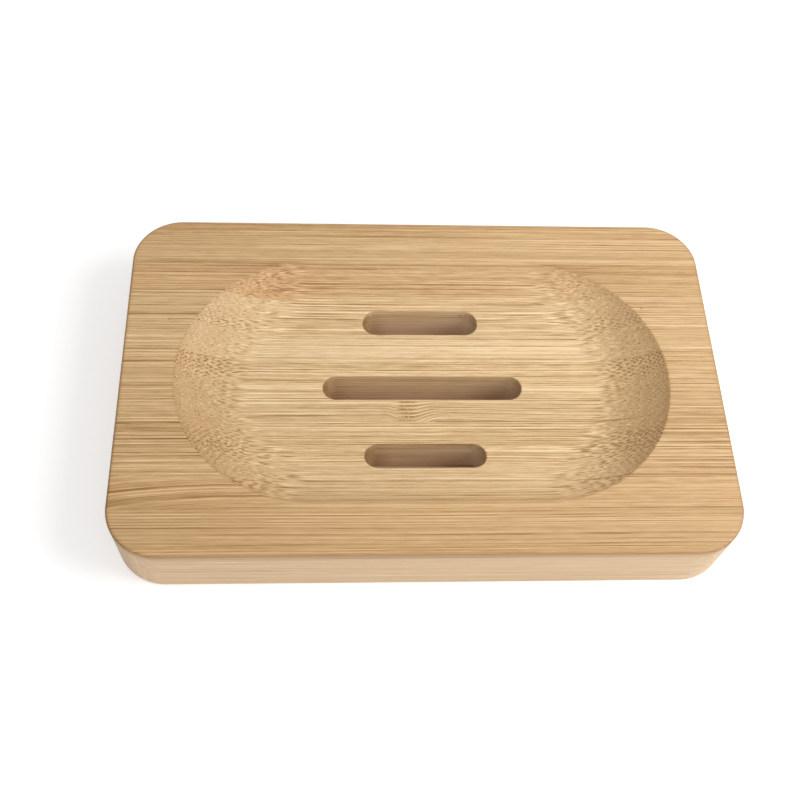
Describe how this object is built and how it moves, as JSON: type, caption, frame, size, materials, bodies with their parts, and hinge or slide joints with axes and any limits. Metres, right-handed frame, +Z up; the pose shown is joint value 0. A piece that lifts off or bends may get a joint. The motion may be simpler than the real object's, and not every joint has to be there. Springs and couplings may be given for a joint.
{
  "type": "soap dish",
  "caption": "Rounded rectangular bamboo soap dish, edge-glued from upright staves, with a shallow coved oval hollow and round-ended drain slots through its floor.",
  "frame": {"origin": "middle of the flat underside, on the surface that the dish stands on", "axes": "+X along the staves and the dish's length, +Y across the staves to the back, +Z up out of the hollow"},
  "size_m": [0.12, 0.076, 0.015],
  "materials": {
    "bamboo_pale": "milled, sanded and lightly oiled bamboo, palest staves",
    "bamboo_straw": "milled, sanded and lightly oiled bamboo, straw staves",
    "bamboo_warm": "milled, sanded and lightly oiled bamboo, warmer staves"
  },
  "bodies": {
    "root": {"stave_01": "bamboo_warm", "stave_02": "bamboo_straw", "stave_03": "bamboo_warm", "stave_04": "bamboo_straw", "stave_05": "bamboo_straw", "stave_06": "bamboo_pale", "stave_07": "bamboo_straw", "stave_08": "bamboo_pale", "stave_09": "bamboo_pale", "stave_10": "bamboo_warm", "stave_11": "bamboo_straw", "stave_12": "bamboo_warm"}
  },
  "joints": []
}
